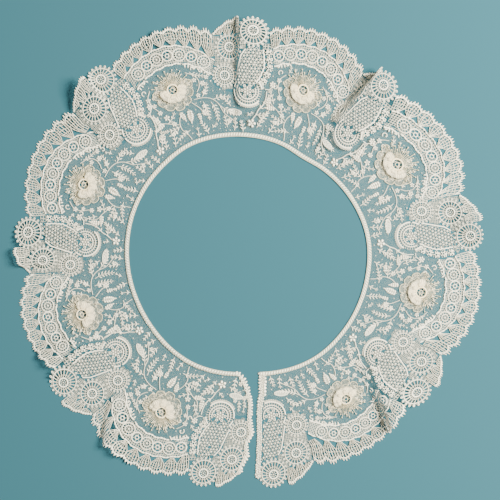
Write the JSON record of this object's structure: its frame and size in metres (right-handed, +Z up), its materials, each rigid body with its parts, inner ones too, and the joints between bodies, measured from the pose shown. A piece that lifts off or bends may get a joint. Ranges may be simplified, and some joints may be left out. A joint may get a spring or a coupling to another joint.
{
  "type": "lace bertha",
  "caption": "Circular needle-lace collar, laid flat with a front opening, a taped round neck and a deep scalloped edge with rose and medallion motifs.",
  "frame": {"origin": "on the surface the lace lies on, under the middle of its bounding box", "axes": "+Z up off the surface, with the right side of the lace; -Y towards the front opening; +X to the right, seen from above with the front opening nearest"},
  "size_m": [0.4682, 0.4702, 0.0159],
  "materials": {
    "woven_tape": "narrow woven cotton tape, matt, slightly yellower than the lace",
    "looped_edging": "needle-made looped edging, matt cotton",
    "straight_braid": "flat braid over a cut edge, matt cotton",
    "net_ground": "hexagonal needle-made net, translucent, with close-worked leaf sprays",
    "ringed_border": "ringed fillings and buttonholed loops, matt cotton",
    "bell_filling": "open ring mesh inside a corded outline, matt cotton",
    "wheel_filling": "radiating bars round a raised ring, matt cotton",
    "rose_petals": "close and loose gauze petals, matt cotton"
  },
  "bodies": {
    "root": {"ground_0": "net_ground", "ground_1": "net_ground", "ground_2": "net_ground", "ground_3": "net_ground", "ground_4": "net_ground", "ground_5": "net_ground", "ground_6": "net_ground", "ground_7": "net_ground", "ground_8": "net_ground", "ground_9": "net_ground", "border_1": "ringed_border", "border_2": "ringed_border", "border_3": "ringed_border", "border_4": "ringed_border", "border_5": "ringed_border", "border_6": "ringed_border", "border_7": "ringed_border", "border_8": "ringed_border", "bell_1": "bell_filling", "wheels_1": "wheel_filling", "bell_2": "bell_filling", "wheels_2": "wheel_filling", "bell_3": "bell_filling", "wheels_3": "wheel_filling", "bell_4": "bell_filling", "wheels_4": "wheel_filling", "bell_5": "bell_filling", "wheels_5": "wheel_filling", "bell_6": "bell_filling", "wheels_6": "wheel_filling", "bell_7": "bell_filling", "wheels_7": "wheel_filling", "bell_8": "bell_filling", "wheels_8": "wheel_filling", "bell_9": "bell_filling", "wheels_9": "wheel_filling", "rose_1": "rose_petals", "rose_2": "rose_petals", "rose_3": "rose_petals", "rose_4": "rose_petals", "rose_5": "rose_petals", "rose_6": "rose_petals", "rose_7": "rose_petals", "rose_8": "rose_petals", "neck_tape": "woven_tape", "front_band_left": "looped_edging", "front_band_right": "straight_braid"}
  },
  "joints": []
}
